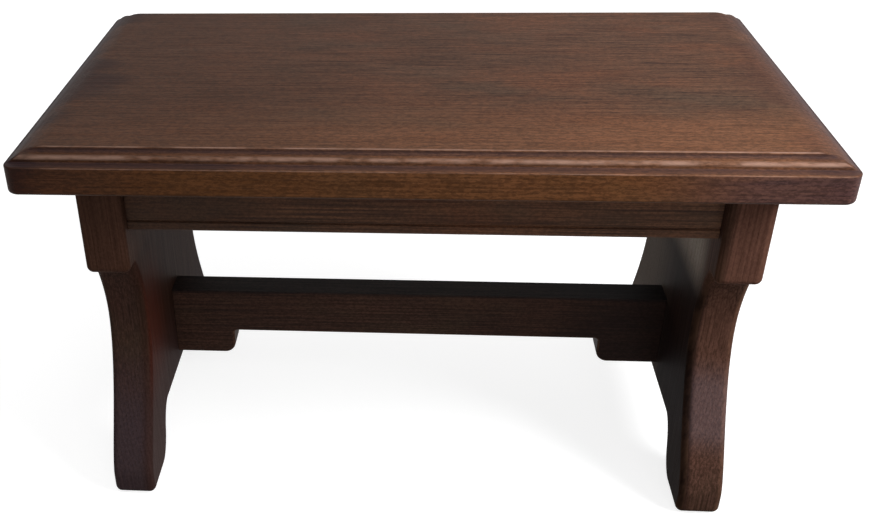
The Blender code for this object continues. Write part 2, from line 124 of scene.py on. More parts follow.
class Coat:
    """A finish while it is mixed: a material and its nodes."""

    def __init__(self, name: str) -> None:
        """Starts an empty material."""
        self.material = bpy.data.materials.new(name)
        self.material.use_nodes = True
        self.tree = self.material.node_tree
        self.tree.nodes.clear()

    @cached_property
    def place(self) -> NodeSocket:
        """The place on the stool."""
        return add_node(self.tree, "ShaderNodeTexCoord").outputs["Object"]

    @cached_property
    def axes(self) -> Node:
        """The place on the stool, with an output for each axis."""
        return add_node(self.tree, "ShaderNodeSeparateXYZ", {"Vector": self.place})

    def noise(self, place: NodeSocket, pattern: Pattern) -> Node:
        """Adds a pattern's noise, drawn from a place."""
        across = 1 / pattern.width
        scaled = add_node(self.tree, "ShaderNodeVectorMath", {
            0: place, 1: (1 / pattern.length, across, across), 2: (pattern.shift,) * 3,
        }, operation="MULTIPLY_ADD")
        return add_node(self.tree, "ShaderNodeTexNoise", {
            "Vector": scaled.outputs[0], "Scale": 1.0, "Detail": pattern.detail, "Roughness": NOISE_ROUGHNESS,
        })

    def ramp(self, value: NodeSocket, start: float, end: float, low: float = 0.0,
             high: float = 1.0) -> NodeSocket:
        """Goes smoothly from low to high, as a value goes from start to end."""
        return add_node(self.tree, "ShaderNodeMapRange", {
            "Value": value, "From Min": start, "From Max": end, "To Min": low, "To Max": high,
        }, interpolation_type="SMOOTHSTEP").outputs["Result"]

    def feature(self, place: NodeSocket, pattern: Pattern, low: float = 0.0, high: float = 1.0) -> NodeSocket:
        """Adds a pattern drawn from a place: low where its feature is absent, and high where it is full."""
        noise = self.noise(place, pattern).outputs["Fac"]
        return self.ramp(noise, pattern.start, pattern.end, low, high)

    def product(self, first: Value, *others: Value) -> Value:
        """Multiplies values."""
        for other in others:
            both = add_node(self.tree, "ShaderNodeMath", {0: first, 1: other}, operation="MULTIPLY")
            first = both.outputs[0]
        return first

    def tint(self, colour: NodeSocket | tuple, over: str, *shares: Value) -> NodeSocket:
        """Lays a hex colour over a colour. The product of the shares is how much of it shows."""
        return add_node(self.tree, "ShaderNodeMix", {
            0: self.product(*shares), 6: colour, 7: linear(over),
        }, data_type="RGBA").outputs[2]

    def brighten(self, colour: NodeSocket, *values: Value) -> NodeSocket:
        """Makes a colour brighter by the product of the values."""
        return add_node(self.tree, "ShaderNodeHueSaturation", {
            "Color": colour, "Value": self.product(*values),
        }).outputs["Color"]

    def surface(self, height: NodeSocket, relief: Pair, inputs: dict) -> Material:
        """Ends the material with its surface.

        Args:
            height: The height of its relief, from 0 to 1.
            relief: How strong the relief is, and how deep.
            inputs: The surface's other settings, by the shader's names for them.

        Returns:
            The finished material.
        """
        strength, depth = relief
        bump = add_node(self.tree, "ShaderNodeBump", {
            "Height": height, "Strength": strength, "Distance": depth,
        })
        shader = add_node(self.tree, "ShaderNodeBsdfPrincipled", {"Normal": bump.outputs[0], **inputs})
        add_node(self.tree, "ShaderNodeOutputMaterial", {"Surface": shader.outputs[0]})
        return self.material


# Finishes


class BoardCut(Enum):
    """How a board lies: the turn that brings its grain to X, its width to Y and its thickness to Z."""

    FLAT = (0.0, 0.0, 0.0)
    ON_EDGE = (-QUARTER_TURN, 0.0, 0.0)
    UPRIGHT = (0.0, QUARTER_TURN, 0.0)


@dataclass(frozen=True)
class PatinaAndPaintedLight:
    """A patch of a board in another colour, for stain changed in use or for painted light or shade:
    its colour, how strong it is, and where it lies.

    Along each axis it grows from none at the first place to full at the second. Where there are four, it is
    full up to the third and gone at the fourth. Its outline wanders by some centimetres, or is crisp where it
    ends at a corner of the board.
    """

    colour: str
    strength: float
    x: tuple[float, ...] = ()
    y: tuple[float, ...] = ()
    z: tuple[float, ...] = ()
    crisp: bool = False


@dataclass(frozen=True)
class StainedOak:
    """Planed oak under a dark brown stain and a satin varnish.

    The eye sees fine straight streaks along the grain, darker where the open pores of each growth ring hold
    stain, slow drifts from red brown to olive brown, and corners rubbed paler, partly as painted highlight,
    with painted shade in the hollows of mouldings. The varnish has a soft sheen.

    A share says how much of a colour shows where it is at its full.
    """

    deep_stain: str = "#34221a"
    even_stain: str = "#5e3f2d"
    warm_stain: str = "#6d4029"
    warm_share: float = 0.32
    olive_stain: str = "#42352a"
    olive_share: float = 0.5
    pore_stain: str = "#24150e"
    pore_share: float = 0.35
    # Painted shade in the moulding's hollows and over the falling ends; cool on the ledge, as painted
    # reflection.
    painted_shade: str = "#362c31"
    painted_shade_share: float = 0.6
    # Paler on arrises and the moulding's nose: partly rubbed wear, partly painted highlight.
    rubbed_edge_and_highlight: str = "#a2775c"
    rub_and_highlight: float = 0.8
    # How much of the paler rub and painted highlight is left in the patches that hands and feet miss.
    least_rub_and_highlight: float = 0.1
    # A mark fainter than this adds neither paler rub nor painted highlight.
    rub_and_highlight_threshold: float = 0.1
    ring_spacing_mm: float = 2.4
    # The part of a growth ring that is early wood, and how much darker its stain makes it.
    early_wood: float = 0.45
    early_wood_share: float = 0.16
    # Pores thin out over this part of a growth ring, down to this share.
    pore_zone: float = 0.6
    late_pores: float = 0.3
    # Real fibres are finer, and are drawn about a pixel wide on the top so that they show.
    fibre: Pattern = Pattern(75.0, 1.1, 5.0, 0.0, 0.36, 0.64)
    # Real pores are about 0.3 mm wide, and are drawn at twice that or more so that they show.
    pore: Pattern = Pattern(22.0, 0.6, 1.0, 7.3, 0.52, 0.66)
    # Real specks of dust and worn varnish are under 0.5 mm, and are drawn a pixel or two long to show.
    speck: Pattern = Pattern(2.2, 1.3, 2.0, 4.9, 0.38, 0.62)
    speck_depth: float = 0.24
    drift: Pattern = Pattern(95.0, 38.0, 3.0, 2.1, 0.40, 0.70)
    cloud: Pattern = Pattern(95.0, 38.0, 2.0, 5.7, 0.48, 0.74)
    rub_and_highlight_patch: Pattern = Pattern(24.0, 9.0, 3.0, 9.4, 0.32, 0.62)
    # The grain sways by up to half of sway_mm either way.
    sway: Pattern = Pattern(260.0, 90.0, 1.0)
    sway_mm: float = 5.0
    # How strong and how deep.
    relief: Pair = (0.25, 0.0002)
    # In the hollows of the grain and on its ridges.
    roughness: Pair = (0.62, 0.50)
    specular: float = 0.12
    # How far the outlines of tinted patches wander along each axis, in all, and the noise that they follow.
    wander: Triple = (0.16, 0.05, 0.03)
    wander_noise: Pattern = Pattern(0.16, 0.05, 2.0, 3.3)
    patinas_and_painted_light: tuple[PatinaAndPaintedLight, ...] = ()

    def wandering(self, coat: Coat) -> Node:
        """The place on the stool, shifted so that an outline drawn from it looks like wear, by axis."""
        noise = coat.noise(coat.place, self.wander_noise).outputs["Color"]
        centred = add_node(coat.tree, "ShaderNodeVectorMath", {
            0: noise, 1: (0.5, 0.5, 0.5),
        }, operation="SUBTRACT")
        shifted = add_node(coat.tree, "ShaderNodeVectorMath", {
            0: centred.outputs[0], 1: self.wander, 2: coat.place,
        }, operation="MULTIPLY_ADD")
        return add_node(coat.tree, "ShaderNodeSeparateXYZ", {"Vector": shifted.outputs[0]})

    def tinted_in_patches(self, coat: Coat, colour: NodeSocket) -> NodeSocket:
        """Tints the stain in patches: where use has changed it, and where light and shade are painted.

        Args:
            coat: The finish that is mixed.
            colour: The stain's colour.

        Returns:
            The tinted colour.
        """
        soft = self.wandering(coat)
        for tinted_patch in self.patinas_and_painted_light:
            axes = coat.axes if tinted_patch.crisp else soft
            # The last two of four places are taken backwards, because the patina ends there.
            shares = [
                coat.ramp(axes.outputs[axis], *ends)
                for axis, places in (("X", tinted_patch.x), ("Y", tinted_patch.y), ("Z", tinted_patch.z))
                for ends in (places[:2], places[:1:-1]) if ends
            ]
            colour = coat.tint(colour, tinted_patch.colour, *shares, tinted_patch.strength)
        return colour

    def with_painted_light(self, coat: Coat, colour: NodeSocket) -> NodeSocket:
        """Paints light and shade over the finish: none on a plain board."""
        return colour

    def material(self, name: str, cut: BoardCut, place_in_log_mm: Triple) -> Material:
        """Makes the finish for one board.

        Args:
            name: The material's name.
            cut: How the board lies.
            place_in_log_mm: Where the board's middle was in the log, whose heart is the X axis.

        Returns:
            The material.
        """
        coat = Coat(name)
        board = add_node(coat.tree, "ShaderNodeMapping", {
            "Vector": coat.place, "Scale": TO_MM, "Rotation": cut.value, "Location": place_in_log_mm,
        }).outputs[0]
        grown = add_node(coat.tree, "ShaderNodeVectorMath", {
            0: coat.noise(board, self.sway).outputs["Color"], 1: (0.0, self.sway_mm, self.sway_mm), 2: board,
        }, operation="MULTIPLY_ADD").outputs[0]
        rings = add_node(coat.tree, "ShaderNodeTexWave", {
            "Vector": grown, "Scale": WAVE_SPACING / self.ring_spacing_mm, "Distortion": 0.0,
        }, wave_type="RINGS", rings_direction="X", wave_profile="SAW").outputs["Fac"]
        fibres = coat.noise(grown, self.fibre).outputs["Fac"]
        streaks = coat.ramp(fibres, self.fibre.start, self.fibre.end)
        early_wood = coat.ramp(rings, 0.0, self.early_wood, self.early_wood_share, 0.0)
        porous = coat.ramp(rings, 0.0, self.pore_zone, 1.0, self.late_pores)
        pores = coat.product(coat.feature(grown, self.pore), porous)
        colour = coat.tint(linear(self.deep_stain), self.even_stain, streaks)
        colour = coat.tint(colour, self.warm_stain, coat.feature(board, self.drift, high=self.warm_share))
        colour = coat.tint(colour, self.olive_stain, coat.feature(board, self.cloud, high=self.olive_share))
        colour = self.tinted_in_patches(coat, colour)
        colour = coat.tint(colour, self.pore_stain, early_wood)
        colour = coat.tint(colour, self.pore_stain, pores, self.pore_share)
        specks = coat.feature(board, self.speck, 1 - self.speck_depth, 1 + self.speck_depth)
        colour = coat.brighten(colour, specks)
        # Arris marks above the threshold: paler rub and painted highlight; marks below 0: painted shade.
        arris = add_node(coat.tree, "ShaderNodeAttribute", attribute_name=ARRIS).outputs["Fac"]
        patches = coat.feature(board, self.rub_and_highlight_patch, self.least_rub_and_highlight * self.rub_and_highlight, self.rub_and_highlight)
        colour = coat.tint(colour, self.rubbed_edge_and_highlight, coat.ramp(arris, self.rub_and_highlight_threshold, 1.0), patches)
        colour = coat.tint(colour, self.painted_shade, coat.ramp(arris, 0.0, -1.0, high=self.painted_shade_share))
        height = add_node(coat.tree, "ShaderNodeMath", {0: fibres, 1: pores}, operation="SUBTRACT").outputs[0]
        return coat.surface(height, self.relief, {
            "Base Color": self.with_painted_light(coat, colour),
            "Roughness": coat.ramp(fibres, *NOISE_RANGE, *self.roughness),
            "IOR": WOOD_IOR,
            "Specular IOR Level": self.specular,
        })


@dataclass(frozen=True)
class SeatOak(StainedOak):
    """The oak of the seat, under the same stain as the rest.

    The eye sees it paler towards its right end, which is painted light, warmer along the front edge, partly
    where legs and hands have polished it and partly painted light, and darker on its upright edges, which is
    painted shade.
    """

    # Painted light, paler from left to right, and painted shade on the upright edges.
    painted_light_spread: float = 0.28
    painted_light_x: Pair = (-0.24, 0.22)
    upright_shade_value: float = 0.95
    edge_z: Pair = (0.2468, 0.2480)

    def with_painted_light(self, coat: Coat, colour: NodeSocket) -> NodeSocket:
        """Paints light on the seat, paler from left to right, and painted shade on its upright edges.

        Args:
            coat: The finish that is mixed.
            The colour with painted light and shade.

        Returns:
            The faded colour.
        """
        along = coat.ramp(self.wandering(coat).outputs["X"], *self.painted_light_x, 1 - self.painted_light_spread, 1 + self.painted_light_spread)
        upright = coat.ramp(coat.axes.outputs["Z"], *self.edge_z, self.upright_shade_value, 1.0)
        return coat.brighten(colour, along, upright)


@dataclass(frozen=True)
class BareBeech:
    """Beech, turned to a dowel and left bare.

    The eye sees pale pinkish buff in soft bands along the dowel, with the short darker flecks of its rays.
    """

    pale_wood: str = "#cdae89"
    late_wood: str = "#b68f69"
    ray_colour: str = "#8f6747"
    ray_share: float = 0.6
    band: Pattern = Pattern(30.0, 2.0, 3.0, 0.0, 0.35, 0.65)
    ray: Pattern = Pattern(2.5, 0.4, 1.0, 6.2, 0.58, 0.70)
    # How strong and how deep.
    relief: Pair = (0.2, 0.0001)
    roughness: float = 0.62
    specular: float = 0.3

    def material(self) -> Material:
        """Makes the finish, for dowels that lie along X."""
        coat = Coat("bare_beech")
        dowel = add_node(coat.tree, "ShaderNodeMapping", {"Vector": coat.place, "Scale": TO_MM}).outputs[0]
        rays = coat.noise(dowel, self.ray).outputs["Fac"]
        flecks = coat.ramp(rays, self.ray.start, self.ray.end, high=self.ray_share)
        colour = coat.tint(linear(self.pale_wood), self.late_wood, coat.feature(dowel, self.band))
        return coat.surface(rays, self.relief, {
            "Base Color": coat.tint(colour, self.ray_colour, flecks),
            "Roughness": self.roughness,
            "IOR": WOOD_IOR,
            "Specular IOR Level": self.specular,
        })


@dataclass(frozen=True)
class ZincPlate:
    """Steel with a bright zinc plate that has dulled a little.

    The eye sees a soft grey shine, clouded where the plate has dulled, over the plated metal's fine grain.
    """

    bright_zinc: str = "#bcbdb9"
    dull_zinc: str = "#8d8f8c"
    cloud: Pattern = Pattern(1.8, 1.8, 3.0, 0.0, 0.38, 0.66)
    # Real plating crystals are under 0.05 mm, and are drawn coarser so that they show.
    grain: Pattern = Pattern(0.2, 0.2, 1.0, 3.7)
    # How strong and how deep.
    relief: Pair = (0.15, 0.00003)
    # Where the plate is bright and where it has dulled, and the stretch of its clouds between the two.
    roughness: Pair = (0.30, 0.48)
    dulling: Pair = (0.3, 0.7)

    def material(self) -> Material:
        """Makes the finish."""
        coat = Coat("zinc_plated_steel")
        plated = add_node(coat.tree, "ShaderNodeMapping", {"Vector": coat.place, "Scale": TO_MM}).outputs[0]
        clouds = coat.noise(plated, self.cloud).outputs["Fac"]
        dull = coat.ramp(clouds, self.cloud.start, self.cloud.end)
        grain = coat.noise(plated, self.grain).outputs["Fac"]
        return coat.surface(grain, self.relief, {
            "Base Color": coat.tint(linear(self.bright_zinc), self.dull_zinc, dull),
            "Metallic": 1.0,
            "Roughness": coat.ramp(clouds, *self.dulling, *self.roughness),
        })


# Outlines and boards


def put_in_scene(name: str, data: bpy.types.ID) -> Object:
    """Makes an object of its data, and puts it in the scene."""
    thing = bpy.data.objects.new(name, data)
    bpy.context.scene.collection.objects.link(thing)
    return thing


class Knot(NamedTuple):
    """A point of an outline, with the handles before and after it. None stands for a straight side."""

    point: Vector
    before: Vector | None = None
    after: Vector | None = None


def corner(x: float, y: float) -> Knot:
    """A sharp point of an outline, with straight sides."""
    return Knot(Vector((x, y)))


def rounded_corner(before: tuple, point: tuple, after: tuple, radius: float) -> list[Knot]:
    """Rounds a corner of an outline.

    Args:
        before: The outline's point before the corner.
        point: The corner.
        after: The outline's point after it.
        radius: The rounding's radius.

    Returns:
        The two knots that take the corner's place.
    """
    middle = Vector(point)
    towards_before = (Vector(before) - middle).normalized()
    towards_after = (Vector(after) - middle).normalized()
    turn = pi - towards_before.angle(towards_after)
    setback = radius * tan(turn / 2)
    # A handle of four thirds of the quarter angle's tangent follows a circle.
    reach = setback - radius * tan(turn / 4) * 4 / 3
    return [
        Knot(middle + towards_before * setback, None, middle + towards_before * reach),
        Knot(middle + towards_after * setback, middle + towards_after * reach, None),
    ]


def with_mirror(half: list[Knot]) -> list[Knot]:
    """Closes half an outline with its mirror image.

    Args:
        half: The half at +X, from top to bottom.

    Returns:
        The whole outline.
    """

    def flipped(point: Vector | None) -> Vector | None:
        """The point's mirror image."""
        return None if point is None else Vector((-point.x, point.y))

    return half + [Knot(flipped(k.point), flipped(k.after), flipped(k.before)) for k in reversed(half)]


def plate(outline: list[Knot], thickness: float, steps: int = 24) -> BMesh:
    """Makes a plate from an outline.

    Args:
        outline: The outline's knots, in XY.
        thickness: The plate's thickness, centred on Z.
        steps: The straight pieces in each curved stretch.

    Returns:
        A closed mesh with one face to a side.
    """
    curve = bpy.data.curves.new("outline", "CURVE")
    curve.dimensions = "2D"
    curve.fill_mode = "BOTH"
    curve.extrude = thickness / 2
    curve.resolution_u = steps
    spline = curve.splines.new("BEZIER")
    spline.bezier_points.add(len(outline) - 1)
    spline.use_cyclic_u = True
    for target, knot in zip(spline.bezier_points, outline):
        target.co = knot.point.to_3d()
        target.handle_left_type = "FREE" if knot.before else "VECTOR"
        target.handle_right_type = "FREE" if knot.after else "VECTOR"
        target.handle_left = (knot.before or knot.point).to_3d()
        target.handle_right = (knot.after or knot.point).to_3d()
    guide = put_in_scene("outline", curve)
    mesh = bpy.data.meshes.new_from_object(guide.evaluated_get(bpy.context.evaluated_depsgraph_get()))
    bpy.data.objects.remove(guide)
    bpy.data.curves.remove(curve)
    bm = bmesh.new()
    bm.from_mesh(mesh)
    bpy.data.meshes.remove(mesh)
    bmesh.ops.remove_doubles(bm, verts=bm.verts[:], dist=WELD_DISTANCE)
    caps = [face for face in bm.faces if len({vert.co.z > 0.0 for vert in face.verts}) == 1]
    bmesh.ops.dissolve_faces(bm, faces=caps)
    bmesh.ops.recalc_face_normals(bm, faces=bm.faces[:])
    return bm


def stood_up(place: Triple, turn: float = 0.0) -> Matrix:
    """Stands a plate upright at a place, and turns it about Z."""
    upright = Matrix.Rotation(turn, 4, "Z") @ Matrix.Rotation(QUARTER_TURN, 4, "X")
    return Matrix.Translation(place) @ upright


def round_edges(bm: BMesh, edges: Iterable[BMEdge], radius: float, steps: int) -> None:
    """Rounds edges, and marks their crowns to be drawn paler: rubbed finish and painted highlight.

    Args:
        bm: The mesh.
        edges: The edges to round.
        radius: The rounding's radius.
        steps: The flats that make it up.
    """
    rounded = bmesh.ops.bevel(
        bm, geom=list(edges), offset=radius, offset_type="OFFSET", segments=steps, profile=0.5,
        affect="EDGES", clamp_overlap=False, material=-1,
    )
    strip = set(rounded["faces"])
    arris = bm.loops.layers.float.get(ARRIS) or bm.loops.layers.float.new(ARRIS)
    for face in strip:
        for loop in face.loops:
            if all(neighbour in strip for neighbour in loop.vert.link_faces):
                loop[arris] = 1.0


def lies_flat(edge: BMEdge) -> bool:
    """Whether an edge runs round a face of a plate, and not through its thickness."""
    low, high = (vert.co for vert in edge.verts)
    return abs(low.z - high.z) < WELD_DISTANCE


def finish_piece(name: str, bm: BMesh, place: Matrix, material: Material,
                 form: str = "board") -> None:
    """Turns a mesh into a finished piece that stands for the frame's node of the same place.

    Args:
        name: The CAD node that the piece replaces.
        bm: The mesh, which is freed.
        place: Where it goes. The place is put into the mesh.
        material: Its finish.
        form: What it is, which ends its name.
    """
    mesh = bpy.data.meshes.new(f"{name}_{form}")
    bm.transform(place)
    bm.to_mesh(mesh)
    bm.free()
    mesh.shade_smooth()
    mesh.set_sharp_from_angle(angle=SMOOTH_ANGLE)
    mesh.materials.append(material)
    piece = put_in_scene(mesh.name, mesh)
    even = piece.modifiers.new("even_shading", "WEIGHTED_NORMAL")
    even.keep_sharp = True
    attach(piece, "root")
    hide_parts(name)
    LOG.info("%s: %d faces", piece.name, len(mesh.polygons))


# The stool's boards


class MouldingPoint(NamedTuple):
    """A ring of the top's moulding: how far in from the long edges it is, how high, and how it is marked.

    A mark of 1 is rubbed paler and painted highlight, and -1 is painted shade.
    """

    inset: float
    height: float
    wear_and_light: float


class Arc(Enum):
    """The quarter of an ellipse that a sweep follows: its first and last angle, in quarter turns."""

    OVER = (2, 1)
    HOLLOW = (-1, 0)
    UNDER = (2, 3)


@dataclass
class TopBoard:
    """The top, with a stepped moulding along its long edges, which runs out over ends that fall away."""

    length: float = 0.450
    depth: float = 0.268
    top_height: float = 0.255
    thickness: float = 0.0235
    corner_radius: float = 0.0075
    inner_corner_radius: float = 0.002
    under_ease: float = 0.002
    arris_ease: float = 0.0009
    ledge_width: float = 0.0068
    ledge_cove_radius: float = 0.0008
    riser_height: float = 0.0025
    nose_width: float = 0.0030
    nose_height: float = 0.0016
    cove_width: float = 0.0032
    cove_height: float = 0.0013
    quirk_height: float = 0.0016
    field_ease: float = 0.0006
    end_fall_width: float = 0.0185
    end_spread_share: float = 0.08
    corner_steps: int = 16
    ease_steps: int = 6
    nose_steps: int = 12
    cove_steps: int = 8
    place_in_log_mm: Triple = (140.0, 260.0, 40.0)
    oak: SeatOak = SeatOak(
        specular=0.08,
        # Cooler and paler on the seat: partly rubbed wear, partly painted highlight.
        rubbed_edge_and_highlight="#a58373",
        fibre=Pattern(42.0, 1.1, 5.0, 0.0, 0.36, 0.64),
        pore=Pattern(9.0, 0.9, 1.0, 7.3, 0.52, 0.66),
        speck=Pattern(3.0, 1.15, 2.0, 4.9, 0.38, 0.62),
        speck_depth=0.27,
        patinas_and_painted_light=(
            # Warmer and paler along the front, most at the right: partly polish, partly painted light.
            PatinaAndPaintedLight("#7c5238", 0.45, x=(-0.45, 0.17), y=(-0.04, -0.10), z=(0.2460, 0.2480)),
            # Darker towards the left: painted shade.
            PatinaAndPaintedLight("#4c2b17", 0.6, x=(0.02, -0.18)),
            # Darker over the left end's fall: painted shade.
            PatinaAndPaintedLight("#2a120e", 0.75, x=(-0.195, -0.220)),
            # Darker over the right end's fall: painted shade.
            PatinaAndPaintedLight("#3c241d", 0.42, x=(0.198, 0.216)),
            PatinaAndPaintedLight("#75481f", 0.35, x=(-0.20, -0.12, 0.13, 0.18), z=(0.2480, 0.2468), crisp=True),
            PatinaAndPaintedLight("#4c363a", 0.45, x=(0.10, 0.18), z=(0.2480, 0.2468), crisp=True),
            PatinaAndPaintedLight("#3a271c", 0.6, z=(0.2336, 0.2317), crisp=True),
        ),
    )

    @property
    def drop(self) -> float:
        """How far the moulding's ledge lies below the field."""
        return self.riser_height + self.nose_height + self.cove_height + self.quirk_height

    def sweep(self, centre: Pair, across: float, up: float, arc: Arc, steps: int,
              wear_and_light: Triple) -> list[MouldingPoint]:
        """Runs along a quarter of an ellipse.

        Args:
            centre: The ellipse's centre, as inset and height.
            across: Its radius across the board.
            up: Its upright radius.
            arc: The quarter to follow.
            steps: The points to make.
            wear_and_light: How much paler or darker the arc is drawn at its start, its middle and its end.

        Returns:
            The arc's points after its first.
        """
        at_start, at_middle, at_end = wear_and_light
        start, end = arc.value
        points = []
        for step in range(1, steps + 1):
            share = step / steps
            angle = QUARTER_TURN * (start + (end - start) * share)
            at_side = at_start if share < 0.5 else at_end
            wear_and_light_here = at_side + (at_middle - at_side) * (1 - abs(2 * share - 1))
            points.append(MouldingPoint(centre[0] + across * cos(angle), centre[1] + up * sin(angle), wear_and_light_here))
        return points

    def moulding(self) -> list[MouldingPoint]:
        """The moulding, from the top of the board's upright edge to its flat field."""
        ledge, ease, cove, field_ease = -self.drop, self.arris_ease, self.ledge_cove_radius, self.field_ease
        cove_foot = self.ledge_width - cove
        nose_foot = ledge + self.riser_height
        nose_inset = self.ledge_width + self.nose_width
        nose_top = nose_foot + self.nose_height
        width = nose_inset + self.cove_width
        # Marks above 0: paler rub and painted highlight; below 0: painted shade in the hollows and on the
        # ledge.
        return [
            MouldingPoint(0.0, ledge - ease, 0.0),
            *self.sweep((ease, ledge - ease), ease, ease, Arc.OVER, self.ease_steps, wear_and_light=(0.0, 0.6, 0.0)),
            MouldingPoint(2 * ease, ledge, -0.6),
            MouldingPoint(cove_foot, ledge, -0.8),
            *self.sweep(
                (cove_foot, ledge + cove), cove, cove, Arc.HOLLOW, self.ease_steps, wear_and_light=(-0.9, -0.9, -0.3)),
            MouldingPoint(self.ledge_width, nose_foot, 0.8),
            *self.sweep(
                (nose_inset, nose_foot), self.nose_width, self.nose_height, Arc.OVER, self.nose_steps,
                wear_and_light=(0.85, 0.75, 0.2)),
            *self.sweep(
                (nose_inset, nose_top + self.cove_height), self.cove_width, self.cove_height, Arc.HOLLOW,
                self.cove_steps, wear_and_light=(-0.1, -0.6, -0.9)),
            MouldingPoint(width, -field_ease, -0.6),
            *self.sweep(
                (width + field_ease, -field_ease), field_ease, field_ease, Arc.OVER, self.ease_steps,
                wear_and_light=(0.0, 0.6, 1.0)),
            MouldingPoint(width + 3 * field_ease, 0.0, 0.0),
        ]

    def under_edge(self) -> list[MouldingPoint]:
        """The eased lower edge, down from the upright edge."""
        ease = self.under_ease
        # A little painted shade where the eased edge meets the underside.
        eased = self.sweep((ease, ease), ease, ease, Arc.UNDER, self.ease_steps, wear_and_light=(0.0, 0.1, -0.2))
        return [MouldingPoint(0.0, ease, 0.0), *eased]

    def over_end(self, ring: MouldingPoint) -> MouldingPoint:
        """Finds where a ring of the moulding runs over the board's ends, which fall away in a parabola.

        Args:
            ring: A ring, as it runs along the board's front and rear.

        Returns:
            The same ring over an end: further in, and in painted shade instead of rubbed, most at the end's
                edge.
        """
        share = min(1.0, -ring.height / self.drop)
        eased = min(ring.inset, self.arris_ease)
        fall = self.end_fall_width * (1 - sqrt(share))
        inset = eased + (ring.inset - eased) * self.end_spread_share + fall
        return MouldingPoint(inset, ring.height, -share)

    def plan_corner(self, vert: BMVert, ring: MouldingPoint, end: MouldingPoint) -> tuple[Vector, float]:
        """Finds the plan corner beside a vertex.

        Args:
            vert: A vertex on one of the board's rings.
            ring: That ring, along the front and rear.
            end: The same ring over the ends.

        Returns:
            The corner's centre and its radius.
        """
        radius = max(self.corner_radius - ring.inset, self.inner_corner_radius)
        reach_x = self.length / 2 - end.inset - radius
        reach_y = self.depth / 2 - ring.inset - radius
        return Vector((copysign(reach_x, vert.co.x), copysign(reach_y, vert.co.y))), radius

    def run_profile(self, bm: BMesh, face: BMFace, rings: list[MouldingPoint],
                    ends: list[MouldingPoint]) -> None:
        """Extrudes a face from ring to ring, and marks how much paler or darker each is drawn.

        Args:
            bm: The mesh.
            face: The face to extrude.
            rings: The rings as they run along the front and rear.
            ends: The same rings as they run over the ends.
        """
        arris = bm.loops.layers.float[ARRIS]
        stages = list(zip(rings, ends))
        for (here, here_end), (there, there_end) in zip(stages, stages[1:]):
            base = face
            raised = bmesh.ops.extrude_face_region(bm, geom=[base])
            face = next(item for item in raised["geom"] if isinstance(item, BMFace))
            bmesh.ops.delete(bm, geom=[base], context="FACES_ONLY")
            upper = set(face.verts)
            for vert in upper:
                centre, radius = self.plan_corner(vert, here, here_end)
                next_centre, next_radius = self.plan_corner(vert, there, there_end)
                vert.co.xy = next_centre + (vert.co.xy - centre) / radius * next_radius
                vert.co.z += there.height - here.height
            for edge in face.edges:
                along = abs((edge.verts[1].co - edge.verts[0].co).normalized().x) ** 2
                for loop in (loop for wall in edge.link_faces if wall is not face for loop in wall.loops):
                    ring, end = (there, there_end) if loop.vert in upper else (here, here_end)
                    loop[arris] = ring.wear_and_light * along + end.wear_and_light * (1 - along)

    def build(self) -> None:
        """Makes the board and dresses it."""
        above, below = self.moulding(), self.under_edge()
        edge_top = self.top_height + above[0].height
        edge_bottom = self.top_height - self.thickness + below[0].height
        bm = bmesh.new()
        bmesh.ops.create_grid(bm, x_segments=1, y_segments=1, size=1.0)
        bm.loops.layers.float.new(ARRIS)
        bmesh.ops.scale(bm, verts=bm.verts[:], vec=(self.length / 2, self.depth / 2, 1.0))
        bmesh.ops.translate(bm, verts=bm.verts[:], vec=(0.0, 0.0, edge_bottom))
        bmesh.ops.bevel(
            bm, geom=bm.verts[:], offset=self.corner_radius, offset_type="OFFSET", segments=self.corner_steps,
            profile=0.5, affect="VERTICES", material=-1,
        )
        under = bm.faces[:][0]
        raised = bmesh.ops.extrude_face_region(bm, geom=[under])
        upper = next(item for item in raised["geom"] if isinstance(item, BMFace))
        bmesh.ops.translate(bm, verts=upper.verts[:], vec=(0.0, 0.0, edge_top - edge_bottom))
        self.run_profile(bm, upper, above, [self.over_end(ring) for ring in above])
        self.run_profile(bm, under, below, below)
        bmesh.ops.recalc_face_normals(bm, faces=bm.faces[:])
        finish = self.oak.material("stained_oak_top", BoardCut.FLAT, self.place_in_log_mm)
        finish_piece("top_board", bm, Matrix(), finish)


